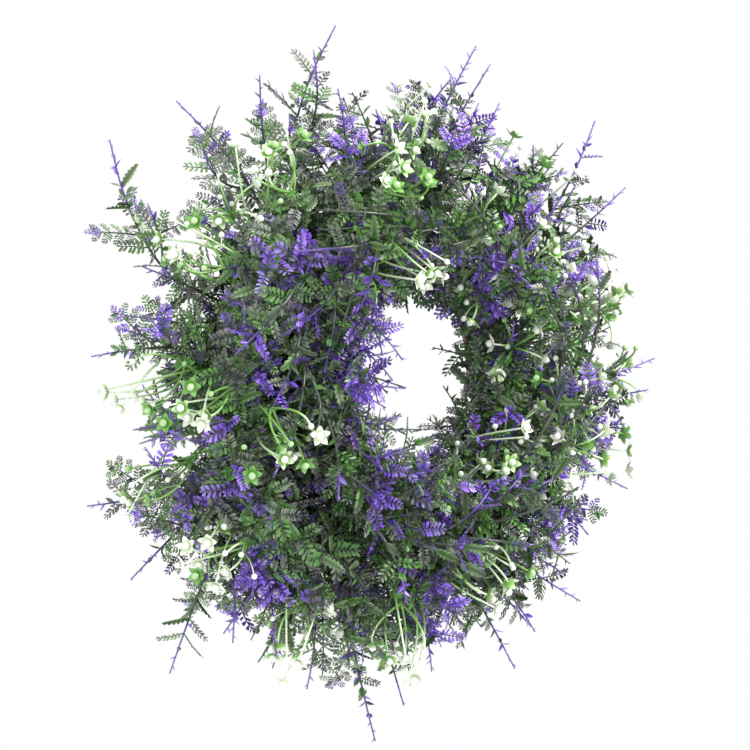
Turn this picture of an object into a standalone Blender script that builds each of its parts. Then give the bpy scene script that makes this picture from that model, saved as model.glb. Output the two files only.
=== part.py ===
"""A hanging wreath: moulded plastic lavender and white-bud picks pushed into a hoop of
twisted vine. Metres, +Z up. The wall is the plane y = 0 and the wreath faces -Y. The
origin is where the hoop hangs: on the wall plane, just under the hoop's top inner edge.
"""
import math
import random

import bpy
import numpy as np
from mathutils import Matrix, Vector

# Hoop of four twisted vine strands
HOOP_RADIUS = 0.100
STRANDS = 4
STRAND_RADIUS = 0.0055
STRAND_GAP = 0.0003
TWISTS = 2
HOOP_STEPS = 24
STRAND_CORNERS = (-32, 32, 84, 135, 180, 225, 276)
STRAND_END_GAP = 0.004
WALL_PRESS = 0.0003
FLAT_HALF = 1.25

HELIX_RADIUS = (STRAND_RADIUS + STRAND_GAP / 2) * math.sqrt(2)
CORNER_REACH = HELIX_RADIUS + STRAND_RADIUS * math.cos(math.radians(STRAND_CORNERS[1]))
HOOP_CENTRE = Vector((0, WALL_PRESS - CORNER_REACH, CORNER_REACH - HOOP_RADIUS))
FRONT = Vector((0, -1, 0))
UP = Vector((0, 0, 1))
HOOP = 0

# Stems, fronds, leaves and buds
STEM_RADIUS = 0.0012
FORK_RADIUS = 0.0010
TIP_RADIUS = 0.0005
STALK_RADIUS = 0.0009
TWIG_RADIUS = 0.0006
FOOT_CLEARANCE = 0.0004
FOOT_LENGTH = 0.010
PIECE_GAP = 0.0005
BEAD_STEP = 0.0015
ROOT_REACH = 0.006
ROOT_LIFT = 0.00008
RIB_EDGE = 0.0008
BLADE_NECK = 0.002
BLADE_HALF_THICK = 0.0007
FROND_LENGTH = 0.044
FROND_HALF_WIDTH = 0.0135
LEAF_LENGTH = 0.0075
LEAF_HALF_WIDTH = 0.002
LOBED_LENGTH = 0.021
LOBED_HALF_WIDTH = 0.0052
NEEDLE_LENGTH = 0.0045
BUD_RADIUS = 0.0031
SMALL_BUD_RADIUS = 0.0018
STAR_RADIUS = 0.0062
BUDS = 5
BARE_BUD = 2

# The hole is kept clear through the whole wreath
HOLE_OFFSET = 0.006
HOLE_RADIUS = 0.048

# Each lavender pick: its name, then its tip and its fork's tip, as degrees from three
# o'clock, reach from the hoop's centre and distance in front of the wall in millimetres.
LAVENDER = (
    ("top_1", (100, 230, 55), (106, 218, 62)),
    ("top_2", (72, 229, 45), (78, 199, 62)),
    ("top_3", (67, 225, 35), (75, 176, 78)),
    ("top_left_1", (117, 216, 60), (120, 192, 95)),
    ("top_left_2", (131, 232, 50), (136, 208, 80)),
    ("top_left_3", (143, 249, 50), (150, 216, 80)),
    ("top_right_1", (46, 239, 40), (57, 182, 70)),
    ("top_right_2", (34, 229, 40), (44, 182, 70)),
    ("top_right_3", (64, 178, 58), (52, 160, 85)),
    ("right_1", (22, 180, 60), (34, 140, 95)),
    ("right_2", (4, 207, 50), (358, 182, 80)),
    ("right_3", (339, 202, 45), (346, 150, 90)),
    ("right_4", (327, 188, 45), (326, 152, 85)),
    ("right_5", (316, 210, 45), (313, 172, 78)),
    ("bottom_1", (298, 214, 45), (301, 187, 72)),
    ("bottom_2", (272, 209, 60), (279, 170, 88)),
    ("bottom_3", (268, 232, 50), (264, 178, 80)),
    ("bottom_4", (229, 243, 55), (232, 208, 80)),
    ("bottom_5", (240, 200, 85), (226, 186, 108)),
    ("left_1", (214, 222, 50), (206, 194, 85)),
    ("left_2", (200, 228, 50), (192, 198, 88)),
    ("left_3", (176, 212, 50), (168, 196, 85)),
    ("face_1", (210, 46, 128), (190, 58, 122)),
    ("face_2", (356, 56, 72), (30, 76, 100)),
    ("face_3", (243, 84, 115), (256, 88, 104)),
    ("face_4", (308, 154, 82), (296, 138, 102)),
    ("face_5", (214, 150, 120), (162, 150, 122)),
)

# Each bud spray: its name, its crown's place, the middle of its buds and how far they
# spread in millimetres.
SPRAYS = (
    ("arch", (188, 122, 118), (202, 128, 142), 26),
    ("stars", (112, 100, 112), (98, 70, 124), 14),
    ("top_left", (128, 150, 88), (126, 184, 96), 22),
    ("left_1", (152, 150, 76), (153, 188, 70), 20),
    ("left_2", (176, 150, 58), (182, 192, 52), 24),
    ("left_3", (199, 158, 66), (201, 204, 58), 22),
    ("left_4", (182, 138, 96), (186, 176, 110), 20),
    ("low_left", (220, 158, 86), (218, 196, 90), 22),
    ("bottom_1", (240, 158, 78), (243, 203, 74), 24),
    ("bottom_2", (266, 142, 86), (266, 184, 88), 26),
    ("bottom_3", (280, 104, 98), (292, 146, 106), 22),
    ("right_1", (308, 66, 78), (322, 84, 116), 22),
    ("right_2", (342, 130, 76), (345, 172, 70), 20),
    ("right_3", (18, 132, 76), (19, 172, 66), 22),
    ("right_4", (38, 104, 90), (41, 132, 106), 20),
    ("top_right", (52, 144, 68), (53, 184, 62), 24),
    ("top", (90, 142, 84), (88, 178, 78), 18),
    ("top_face", (102, 122, 92), (98, 136, 118), 20),
)

# Short leafy shoots that cover the hoop's face and its inner side
SHOOTS = (
    ("shoot_1", (84, 72, 88)),
    ("shoot_2", (50, 74, 66)),
    ("shoot_3", (18, 72, 84)),
    ("shoot_4", (345, 74, 62)),
    ("shoot_5", (312, 72, 90)),
    ("shoot_6", (280, 74, 66)),
    ("shoot_7", (247, 72, 92)),
    ("shoot_8", (214, 76, 64)),
    ("shoot_9", (181, 74, 92)),
    ("shoot_10", (148, 76, 66)),
    ("shoot_11", (116, 72, 94)),
)


def place(clock, reach, forward):
    """A point from its clock angle, reach from the hoop's centre and way off the wall."""
    angle = math.radians(clock)
    out = Vector((math.cos(angle), 0, math.sin(angle)))
    point = HOOP_CENTRE + out * reach / 1000
    point.y = -forward / 1000
    return point


def strand_corner_frame(strand, clock):
    """A strand's centre and its two section directions in the hoop's own section."""
    angle = math.radians(clock)
    out = Vector((math.cos(angle), 0, math.sin(angle)))
    turn = 2 * math.pi * strand / STRANDS + TWISTS * angle
    along = math.cos(turn) * out + math.sin(turn) * FRONT
    across = -math.sin(turn) * out + math.cos(turn) * FRONT
    return HOOP_CENTRE + HOOP_RADIUS * out + HELIX_RADIUS * along, along, across


def strand_at(strand, clock):
    """A strand's centre as its straight facets run, between two steps of the hoop."""
    step = 360 / HOOP_STEPS
    before = math.floor(clock / step) * step
    start = strand_corner_frame(strand, before)[0]
    end = strand_corner_frame(strand, before + step)[0]
    return start.lerp(end, (clock - before) / step)


class Beads:
    """Every placed piece as small balls, so that a new one can be kept clear of them."""

    def __init__(self):
        self.points = np.empty((0, 3))
        self.radii = np.empty(0)
        self.pieces = np.empty(0, int)
        self.count = 0

    def add(self, points, radii, piece=None):
        """Keep a piece's beads and give its number."""
        if piece is None:
            self.count += 1
            piece = self.count
        self.points = np.vstack([self.points, points])
        self.radii = np.append(self.radii, radii)
        self.pieces = np.append(self.pieces, np.full(len(points), piece))
        return piece

    def clear(self, points, radii, parent, root, reach):
        """Is a piece off the wall, out of the hole and clear of what is placed?

        What it grows from is left out within a short reach of its root.
        """
        if (points[:, 1] + radii > -PIECE_GAP).any():
            return False
        from_hole = np.hypot(points[:, 0] - HOLE_OFFSET, points[:, 2] - HOOP_CENTRE.z)
        if (from_hole - radii < HOLE_RADIUS).any():
            return False
        margin = radii.max() + STAR_RADIUS + PIECE_GAP
        low, high = points.min(0) - margin, points.max(0) + margin
        near = ((self.points > low) & (self.points < high)).all(1)
        by_root = np.linalg.norm(self.points - np.array(root), axis=1) < reach
        near &= ~(by_root & (self.pieces == parent))
        apart = points[:, None] - self.points[near][None]
        least = radii[:, None] + self.radii[near][None] + PIECE_GAP
        return bool(((apart**2).sum(2) > least**2).all())


def bead_line(path, start_radius, end_radius):
    """Beads along a path, with the radius running from its start's to its end's."""
    points, radii = [], []
    lengths = [(b - a).length for a, b in zip(path, path[1:])]
    whole, gone = sum(lengths), 0.0
    for a, b, length in zip(path, path[1:], lengths):
        steps = max(1, math.ceil(length / BEAD_STEP))
        for n in range(steps):
            share = (gone + length * n / steps) / whole
            points.append(a.lerp(b, n / steps))
            radii.append(start_radius + (end_radius - start_radius) * share)
        gone += length
    points.append(path[-1])
    radii.append(end_radius)
    return np.array(points), np.array(radii)


def bend(start, knee, end, steps):
    """Points on a smooth bend from start towards knee and on to end."""
    path = []
    for k in range(steps + 1):
        t = k / steps
        path.append((1 - t) ** 2 * start + 2 * t * (1 - t) * knee + t * t * end)
    return path


def side_of(direction, degrees):
    """A direction square to the given one, turned round it by some degrees."""
    first = direction.cross(UP if abs(direction.z) < 0.9 else FRONT).normalized()
    return Matrix.Rotation(math.radians(degrees), 3, direction) @ first


def between_rings(corners, outer, inner, out):
    """Faces that fill the space between two rings, which both turn left round out.

    Each edge is joined to the corner of the other ring that faces its nearest point.
    """
    centre = sum((corners[n] for n in inner), Vector()) / len(inner)
    zero = corners[outer[0]] - centre
    zero = (zero - out * zero.dot(out)).normalized()
    square = out.cross(zero)

    def marks(ring):
        found = []
        for here, there in zip(ring, ring[1:] + ring[:1]):
            start, run = corners[here] - centre, corners[there] - corners[here]
            share = -start.dot(run) / run.length_squared
            nearest = start + run * min(0.98, max(0.02, share))
            turn = math.atan2(nearest.dot(square), nearest.dot(zero))
            found.append(turn % (2 * math.pi))
        return found

    inner_marks = marks(inner)
    first = inner_marks.index(min(inner_marks))
    inner = inner[first:] + inner[:first]
    order = [(mark, 0) for mark in marks(outer)] + [(mark, 1) for mark in inner_marks]
    faces = []
    a, b = 0, 0
    for _, ring in sorted(order):
        here, there = outer[a % len(outer)], inner[b % len(inner)]
        if ring == 0:
            a += 1
            faces.append((here, outer[a % len(outer)], there))
        else:
            b += 1
            faces.append((here, inner[b % len(inner)], there))
    return faces


class Root:
    """A spot on a stem's face where another piece grows out."""

    def __init__(self, stem, share, number):
        lengths = [(b - a).length for a, b in zip(stem.path, stem.path[1:])]
        left = share * sum(lengths)
        k = 0
        while k < len(stem.radii) - 2 and left > lengths[k]:
            left -= lengths[k]
            k += 1
        part = min(0.8, max(0.2, left / lengths[k]))
        face = number % 3
        here, there = stem.ring(k), stem.ring(k + 1)
        across = here[face - 2].lerp(there[face - 2], part) - here[face].lerp(there[face], part)
        low = (here[face] + here[face - 2]) / 2
        high = (there[face] + there[face - 2]) / 2
        self.key = (k, face)
        self.stem = stem
        self.way = (high - low).normalized()
        self.out = across.cross(self.way).normalized()
        self.half = across.length * 0.24
        self.point = low.lerp(high, part) + self.out * ROOT_LIFT

    def on_face(self, corner, aim):
        """A corner slid along aim onto the stem's face."""
        return corner + aim * (self.point - corner).dot(self.out) / aim.dot(self.out)

    def free(self):
        return self.key not in self.stem.grown


class Stem:
    """A three-sided tapering stem along a path, with the pieces that grow from it."""

    def __init__(self, path, start_radius, end_radius, root=None, ends_in="point"):
        self.path = path
        last = len(path) - 1
        rings = last if ends_in == "point" else last + 1
        fall = (end_radius - start_radius) / last
        self.radii = [start_radius + fall * k for k in range(rings)]
        self.ends_in = ends_in
        self.turn = 0
        self.grown = {}
        self.root = root
        self.ways, self.sides = [], []
        side = side_of((path[1] - path[0]).normalized(), 0)
        for k in range(rings):
            way = (path[min(last, k + 1)] - path[max(0, k - 1)]).normalized()
            side = (side - way * side.dot(way)).normalized()
            self.ways.append(way)
            self.sides.append(side)

    def beads(self):
        return bead_line(self.path, self.radii[0], self.radii[-1])

    def ring(self, k):
        """The three corners at a point of the path."""
        corners = []
        for n in range(3):
            across = Matrix.Rotation(2 * math.pi * n / 3, 3, self.ways[k]) @ self.sides[k]
            if k == 0 and self.root:
                across = (across - self.root.out * across.dot(self.root.out)).normalized()
                corners.append(self.root.point + self.root.half * across)
            else:
                corners.append(self.path[k] + self.radii[k] * across)
        return corners

    def mesh(self):
        """Corners and faces of the stem with all that grows from it."""
        rings = len(self.radii)
        corners = [corner for k in range(rings) for corner in self.ring(k)]
        faces = [] if self.root else [(2, 1, 0)]
        for k in range(rings - 1):
            for n in range(3):
                a, b = 3 * k + n, 3 * k + (n + 1) % 3
                piece = self.grown.get((k, n))
                if piece is None:
                    faces += [(a, b, b + 3), (a, b + 3, a + 3)]
                    continue
                root, shape = piece
                more, more_faces, count = shape.mesh() if isinstance(shape, Stem) else shape
                base = len(corners)
                corners += more
                faces += [tuple(base + c for c in face) for face in more_faces]
                ring = [base + c for c in range(count)]
                faces += between_rings(corners, [a, b, b + 3, a + 3], ring, root.out)
        self.close(corners, faces, [3 * rings - 3, 3 * rings - 2, 3 * rings - 1])
        return corners, faces, 3

    def close(self, corners, faces, ring):
        """The stem's far end: a point, a bare bud or a bud in its star."""
        end = self.path[-1]
        way = (end - self.path[-2]).normalized()
        if self.ends_in == "point":
            corners.append(end)
            faces += fan(ring, len(corners) - 1)
        elif self.ends_in == "bud":
            belt = [len(corners) + n for n in range(4)]
            for n in range(4):
                corners.append(end + SMALL_BUD_RADIUS * (way + side_of(way, self.turn + 90 * n)))
            faces += between_rings(corners, ring, belt, way)
            corners.append(end + way * SMALL_BUD_RADIUS * 2.2)
            faces += fan(belt, len(corners) - 1)
        else:
            self.close_with_star(corners, faces, ring, end, way)

    def close_with_star(self, corners, faces, ring, end, way):
        star = [len(corners) + n for n in range(10)]
        for n in range(10):
            height, radius = (0.0016, STAR_RADIUS) if n % 2 == 0 else (0, BUD_RADIUS * 0.8)
            corners.append(end + way * height + radius * side_of(way, self.turn + 36 * n))
        belt = [len(corners) + n for n in range(5)]
        for n in range(5):
            across = side_of(way, self.turn + 36 + 72 * n)
            corners.append(end + way * 0.0032 + BUD_RADIUS * across)
        faces += between_rings(corners, ring, star, way)
        faces += between_rings(corners, star, belt, way)
        corners.append(end + way * 0.0062)
        faces += fan(belt, len(corners) - 1)


def fan(ring, middle):
    """Faces from a ring up to one corner."""
    return [(here, after, middle) for here, after in zip(ring, ring[1:] + ring[:1])]


def blade(root, aim, face, length, half_width, pairs, cut, slant, arch):
    """A leaf or frond whose edge is cut into pairs of leaflets, thick along its rib.

    aim runs along the rib and face is square to it. cut is how deep the notches go, from
    0 to 1, slant leans the leaflets forward and arch bends the blade back off its face.
    Also gives its beads.
    """
    side = aim.cross(face).normalized()
    pitch = (length - BLADE_NECK) / (pairs + 0.8)

    def at(along, across, lift):
        drop = arch * (along / length) ** 2
        return root.point + aim * along + side * across + face * (lift - drop)

    corners = [at(0, 0, root.half), at(0, root.half, 0), at(0, 0, -root.half)]
    corners.append(at(0, -root.half, 0))
    corners = [root.on_face(corner, aim) for corner in corners]
    points, radii = bead_line([at(0, 0, 0), at(length, 0, 0)], 0.0012, 0.0008)
    top, right, under, left = range(4)
    faces = []
    for k in range(pairs):
        middle = BLADE_NECK + pitch * (k + 0.5)
        share = middle / length
        wide = half_width * (0.62 + 1.1 * share - 1.35 * share**2)
        notch = max(RIB_EDGE, wide * (1 - cut))
        new = len(corners)
        corners += [at(middle, 0, BLADE_HALF_THICK), at(middle, 0, -BLADE_HALF_THICK)]
        corners += [at(middle + slant * wide, wide, 0), at(middle + slant * wide, -wide, 0)]
        corners += [at(middle + pitch / 2, notch, 0), at(middle + pitch / 2, -notch, 0)]
        for tip in (new + 2, new + 3):
            more, thick = bead_line([at(middle, 0, 0), corners[tip]], 0.0022, 0.0006)
            points, radii = np.vstack([points, more]), np.append(radii, thick)
        faces += [(right, new, top), (top, new, left), (right, under, new + 1)]
        faces += [(under, left, new + 1), (right, new + 2, new), (new + 3, left, new)]
        faces += [(new + 2, right, new + 1), (left, new + 3, new + 1)]
        faces += [(new + 2, new + 4, new), (new + 5, new + 3, new)]
        faces += [(new + 4, new + 2, new + 1), (new + 3, new + 5, new + 1)]
        top, under, right, left = new, new + 1, new + 4, new + 5
    tip = len(corners)
    corners.append(at(length, 0, 0))
    faces += [(right, tip, top), (tip, left, top), (tip, right, under), (left, tip, under)]
    return (corners, faces, 4), points, radii


def teardrop(root, aim, face, length, half_width):
    """A small pointed leaf, flat below and thickest a third of the way along."""
    side = aim.cross(face).normalized()
    middle = root.point + aim * length * 0.34
    corners = []
    for across in (-side, face, side):
        corners.append(root.on_face(root.point + across * root.half, aim))
    for across in (-side * half_width, face * BLADE_HALF_THICK, side * half_width):
        corners.append(middle + across)
    corners.append(root.point + aim * length)
    faces = []
    for n in range(3):
        after = (n + 1) % 3
        faces += [(n, after, after + 3), (n, after + 3, n + 3), (n + 3, after + 3, 6)]
    line = [root.point, root.point + aim * length]
    return (corners, faces, 3), *bead_line(line, half_width, half_width * 0.4)


def needle(root, aim, length):
    """A three-sided needle."""
    corners = []
    for n in range(3):
        corners.append(root.on_face(root.point + root.half * side_of(aim, 120 * n), aim))
    tip = root.point + aim * length
    corners.append(tip)
    return (corners, fan([0, 1, 2], 3), 3), *bead_line([root.point, tip], root.half, root.half)


def grow(kind, stem, piece, share, number, beads, draw, pairs=0, size=1.0):
    """A frond, leaf or needle on a stem, at the first face where it is clear of the rest."""
    for attempt in range(12):
        root = Root(stem, share + 0.02 * (attempt // 3), number + attempt)
        if not root.free():
            continue
        if kind == "frond":
            aim = (root.way * 0.8 + root.out).normalized()
            face = aim.cross(root.way.cross(root.out))
            face = Matrix.Rotation(math.radians(draw.uniform(-45, 45)), 3, aim) @ face
            length = FROND_LENGTH * size * (1 - 0.03 * attempt)
            wide = length * FROND_HALF_WIDTH / FROND_LENGTH
            made = blade(root, aim, face, length, wide, pairs, 0.95, 0.55, length * 0.12)
        elif kind == "lobed":
            aim = (root.way * 0.4 + root.out).normalized()
            face = aim.cross(root.way).normalized()
            length = LOBED_LENGTH * size
            made = blade(root, aim, face, length, LOBED_HALF_WIDTH, 3, 0.3, 0.2, length * 0.15)
        elif kind == "teardrop":
            aim = (root.way * 0.5 + root.out).normalized()
            face = aim.cross(root.way).normalized()
            made = teardrop(root, aim, face, LEAF_LENGTH, LEAF_HALF_WIDTH)
        else:
            made = needle(root, (root.way * 0.7 + root.out).normalized(), NEEDLE_LENGTH)
        shape, points, radii = made
        if beads.clear(points, radii, piece, root.point, ROOT_REACH):
            beads.add(points, radii)
            stem.grown[root.key] = (root, shape)
            return


def all_seats():
    """Every place where a stem's foot can be pushed into a groove between two strands."""
    found = []
    for clock in range(0, 360, 3):
        centres = [strand_at(s, clock) for s in range(STRANDS)]
        middle = sum(centres, Vector()) / STRANDS
        for s in range(STRANDS):
            a, b = centres[s], centres[(s + 1) % STRANDS]
            way = ((a + b) / 2 - middle).normalized()
            half = (a - b).length / 2 - STEM_RADIUS - FOOT_CLEARANCE
            depth = math.sqrt(STRAND_RADIUS**2 - half**2)
            if way.y < 0.35:
                found.append(((a + b) / 2 + way * depth, way))
    return found


def seated_stem(tip, seats, beads, end_radius, steps):
    """A stem to a tip, from the groove that lets it get there with the least bend."""

    def effort(seat):
        foot, way = seat
        run = tip - foot - way * FOOT_LENGTH
        return run.length * 5 - way.dot(run.normalized())

    for foot, way in sorted(seats, key=effort):
        mouth = foot + way * FOOT_LENGTH
        knee = mouth + way * (tip - mouth).length * 0.4
        stem = Stem([foot] + bend(mouth, knee, tip, steps), STEM_RADIUS, end_radius)
        if beads.clear(*stem.beads(), HOOP, foot, FOOT_LENGTH * 1.5):
            seats.remove((foot, way))
            return stem, beads.add(*stem.beads())
    return None, None


def add_object(name, corners, faces, material):
    mesh = bpy.data.meshes.new(name)
    mesh.from_pydata([tuple(c) for c in corners], [], faces)
    mesh.materials.append(material)
    thing = bpy.data.objects.new(name, mesh)
    bpy.context.collection.objects.link(thing)


def painted(name, colour, roughness):
    material = bpy.data.materials.new(name)
    material.use_nodes = True
    surface = material.node_tree.nodes["Principled BSDF"]
    surface.inputs["Base Color"].default_value = (*colour, 1)
    surface.inputs["Roughness"].default_value = roughness
    return material


def build_hoop(beads, bark):
    """Four strands twisted round each other, each pressed flat where it meets the wall."""
    step = 360 / HOOP_STEPS
    trim = math.degrees(STRAND_END_GAP / HOOP_RADIUS)
    count = len(STRAND_CORNERS)
    for strand in range(STRANDS):
        start = 20 + 90 * strand
        end = start + 360 - trim
        between = range(math.ceil(start / step), math.ceil(end / step))
        clocks = [start] + [n * step for n in between] + [end]
        for contact in range(135 - 45 * strand, 720, 180):
            for clock in (contact - FLAT_HALF, contact + FLAT_HALF):
                if start < clock < end:
                    clocks.append(clock)
        clocks.sort()
        corners, faces = [], [tuple(range(count))]
        for clock in clocks:
            centre = strand_at(strand, clock)
            _, along, across = strand_corner_frame(strand, clock)
            for angle in STRAND_CORNERS:
                turn = math.radians(angle)
                way = math.cos(turn) * along + math.sin(turn) * across
                corner = centre + STRAND_RADIUS * way
                corner.y = min(corner.y, 0)
                corners.append(corner)
        for k in range(len(clocks) - 1):
            for n in range(count):
                a, b = k * count + n, k * count + (n + 1) % count
                faces += [(a, a + count, b), (b, a + count, b + count)]
        faces.append(tuple(len(corners) - 1 - n for n in range(count)))
        add_object(f"vine_{strand + 1}", corners, faces, bark)
        path = [strand_at(strand, c) for c in clocks]
        beads.add(*bead_line(path, STRAND_RADIUS, STRAND_RADIUS), piece=HOOP)


def grow_fork(stem, piece, end, beads):
    """A fork that leaves a stem part way along and runs to its own tip."""
    for share in (0.35, 0.45, 0.27, 0.55, 0.2):
        roots = [Root(stem, share, n) for n in range(3)]
        root = max(roots, key=lambda r: r.out.dot((end - r.point).normalized()))
        knee = root.point + (root.way + root.out).normalized() * (end - root.point).length * 0.4
        fork = Stem(bend(root.point, knee, end, 3), FORK_RADIUS, TIP_RADIUS, root)
        if beads.clear(*fork.beads(), piece, root.point, ROOT_REACH):
            stem.grown[root.key] = (root, fork)
            return fork, beads.add(*fork.beads())
    return None, None


def grow_stalk(stem, piece, share, end, star, turn, beads):
    """A bud's stalk, arching from a spray's crown to where its bud is."""
    roots = [Root(stem, share, n) for n in range(3)]
    roots = [root for root in roots if root.free()]
    if not roots:
        return False
    root = max(roots, key=lambda r: r.out.dot(end - r.point))
    knee = root.point + (root.way * 0.6 + root.out).normalized() * (end - root.point).length * 0.4
    path = bend(root.point, knee, end, 3)
    stalk = Stem(path, STALK_RADIUS, TWIG_RADIUS, root, "star" if star else "bud")
    stalk.turn = turn
    points, radii = stalk.beads()
    beyond = end + (end - path[-2]).normalized() * BUD_RADIUS
    points = np.vstack([points, np.array([beyond])])
    radii = np.append(radii, STAR_RADIUS if star else SMALL_BUD_RADIUS * 1.3)
    if not beads.clear(points, radii, piece, root.point, ROOT_REACH):
        return False
    beads.add(points, radii, piece)
    stem.grown[root.key] = (root, stalk)
    return True


def build_spray(crown, aim, spread, seats, beads, draw):
    """A stem that parts at its crown into stalks, each ending in a bud."""
    stem, piece = seated_stem(place(*crown), seats, beads, STALK_RADIUS, 4)
    if stem is None:
        return None
    middle = place(*aim)
    heading = (middle - stem.path[-1]).normalized()
    for n in range(BUDS):
        for attempt in range(40):
            wide = spread / 1000 * math.sqrt((n + 0.5) / BUDS) * (1 + 0.03 * attempt)
            turn = 137.5 * n + 40 * attempt + draw.uniform(-15, 15)
            end = middle + side_of(heading, turn) * wide
            end += heading * draw.uniform(-0.010, 0.008)
            share = 0.95 if n < 3 else 0.70 - 0.10 * (attempt % 3)
            if grow_stalk(stem, piece, share, end, n != BARE_BUD, turn, beads):
                break
    return stem


def main():
    for thing in list(bpy.data.objects):
        bpy.data.objects.remove(thing)
    bark = painted("vine bark", (0.10, 0.06, 0.035), 0.8)
    dark_green = painted("lavender plastic", (0.10, 0.14, 0.11), 0.55)
    fresh_green = painted("bud spray plastic", (0.28, 0.45, 0.12), 0.45)
    draw = random.Random(11)
    beads = Beads()
    build_hoop(beads, bark)
    seats = all_seats()
    picks, sprays, shoots = [], [], []
    for name, tip, fork_tip in LAVENDER:
        stem, piece = seated_stem(place(*tip), seats, beads, TIP_RADIUS, 6)
        if stem:
            picks.append((name, stem, piece, *grow_fork(stem, piece, place(*fork_tip), beads)))
    for name, tip in SHOOTS:
        stem, piece = seated_stem(place(*tip), seats, beads, TIP_RADIUS, 3)
        if stem:
            shoots.append((name, stem, piece))
    for name, *rest in SPRAYS:
        sprays.append((name, build_spray(*rest, seats, beads, draw)))
    for name, stem, piece, fork, fork_piece in picks:
        number = draw.randrange(3)
        size = draw.uniform(0.9, 1.08)
        grow("frond", stem, piece, 0.30, number, beads, draw, pairs=4, size=size)
        grow("frond", stem, piece, 0.52, number + 1, beads, draw, pairs=4, size=size * 0.85)
        if fork:
            grow("frond", fork, fork_piece, 0.25, number + 2, beads, draw, 4, size)
            grow("frond", fork, fork_piece, 0.5, number, beads, draw, 3, size * 0.8)
    for name, stem, piece in shoots:
        for n, share in enumerate((0.25, 0.45, 0.65)):
            grow("frond", stem, piece, share, n, beads, draw, pairs=3, size=0.85)
        grow("lobed", stem, piece, 0.5, 2, beads, draw)
    for name, stem, piece, fork, fork_piece in picks:
        grow("lobed", stem, piece, 0.18, 2, beads, draw)
        grow("teardrop", stem, piece, 0.68, 0, beads, draw)
        grow("needle", stem, piece, 0.82, 1, beads, draw)
        if fork:
            grow("teardrop", fork, fork_piece, 0.62, 2, beads, draw)
            grow("needle", fork, fork_piece, 0.8, 0, beads, draw)
    for name, stem, *_ in picks:
        add_object(f"lavender_{name}", *stem.mesh()[:2], dark_green)
    for name, stem in sprays:
        add_object(f"bud_spray_{name}", *stem.mesh()[:2], fresh_green)
    for name, stem, _ in shoots:
        add_object(f"leafy_{name}", *stem.mesh()[:2], dark_green)


main()
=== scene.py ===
"""A hanging wreath: moulded plastic lavender and white-bud picks in a hoop of twisted
vine. Metres, +Z up. It faces -Y and hangs on the plane y = 0, with nothing behind it.
"""
import random
from math import ceil, copysign, cos, degrees, exp, hypot, pi, radians, sin, sqrt

import bpy
import numpy as np
from mathutils import Matrix, Vector


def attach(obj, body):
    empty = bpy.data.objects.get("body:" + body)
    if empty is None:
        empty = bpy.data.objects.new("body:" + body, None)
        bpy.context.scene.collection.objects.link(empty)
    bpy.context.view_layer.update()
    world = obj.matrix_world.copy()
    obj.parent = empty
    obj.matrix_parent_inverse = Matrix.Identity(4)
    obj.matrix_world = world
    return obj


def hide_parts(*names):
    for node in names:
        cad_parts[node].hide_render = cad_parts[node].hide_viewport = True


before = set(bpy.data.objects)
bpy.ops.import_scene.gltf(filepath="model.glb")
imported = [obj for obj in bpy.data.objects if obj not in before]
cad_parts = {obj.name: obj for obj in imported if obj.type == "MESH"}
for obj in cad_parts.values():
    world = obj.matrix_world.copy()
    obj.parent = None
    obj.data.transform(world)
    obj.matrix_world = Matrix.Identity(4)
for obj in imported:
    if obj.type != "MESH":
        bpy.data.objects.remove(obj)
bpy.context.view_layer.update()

# The hoop: four long vines wound round each other, bound only by their own twist. Their
# bark is thin, dark brown and cracked lengthways, with a scar where each side shoot was
# cut off. Each vine is a little flat where it lies against the wall.
HOOP_RADIUS = 0.100
STRANDS = 4
STRAND_RADIUS = 0.0055
STRAND_GAP = 0.0003
TWISTS = 2
HOOP_STEP = 15.0
STRAND_FLAT = radians(32)
STRAND_END_GAP = 0.004
END_TRIM = degrees(STRAND_END_GAP / HOOP_RADIUS)
FIRST_CLOCK = 20
WALL_PRESS = 0.0003
VINE_SIDES = 14
VINE_RINGS = 240
SCARS = 9
SCAR_HEIGHT = 0.0004
SCAR_WIDTH = 0.003
HELIX_RADIUS = (STRAND_RADIUS + STRAND_GAP / 2) * sqrt(2)
CORNER_REACH = HELIX_RADIUS + STRAND_RADIUS * cos(STRAND_FLAT)
HOOP_CENTRE = Vector((0, WALL_PRESS - CORNER_REACH, CORNER_REACH - HOOP_RADIUS))
FRONT = Vector((0, -1, 0))
UP = Vector((0, 0, 1))


def strand_ends(strand):
    """Where a strand starts and ends, in degrees from three o'clock."""
    first = FIRST_CLOCK + 360 / STRANDS * strand
    return first, first + 360 - END_TRIM


def strand_frame(strand, clock):
    """A strand's centre and its two section directions, at degrees from three o'clock."""
    angle = radians(clock)
    out = Vector((cos(angle), 0, sin(angle)))
    turn = 2 * pi * strand / STRANDS + TWISTS * angle
    along = cos(turn) * out + sin(turn) * FRONT
    across = -sin(turn) * out + cos(turn) * FRONT
    return HOOP_CENTRE + HOOP_RADIUS * out + HELIX_RADIUS * along, along, across


def strand_at(strand, clock):
    """A strand's centre as its straight stretches run, between two steps of the hoop."""
    before = clock // HOOP_STEP * HOOP_STEP
    start = strand_frame(strand, before)[0]
    end = strand_frame(strand, before + HOOP_STEP)[0]
    return start.lerp(end, (clock - before) / HOOP_STEP)


def linear(code):
    """An sRGB hex colour as the linear values that a shader takes."""
    values = [int(code[n:n + 2], 16) / 255 for n in (1, 3, 5)]
    values = [v / 12.92 if v <= 0.04045 else ((v + 0.055) / 1.055) ** 2.4 for v in values]
    return (*values, 1.0)


def set_inputs(node, inputs):
    """A link or a value for each named input of a node."""
    for name, value in inputs.items():
        if isinstance(value, bpy.types.NodeSocket):
            node.id_data.links.new(value, node.inputs[name])
        else:
            node.inputs[name].default_value = value


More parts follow.
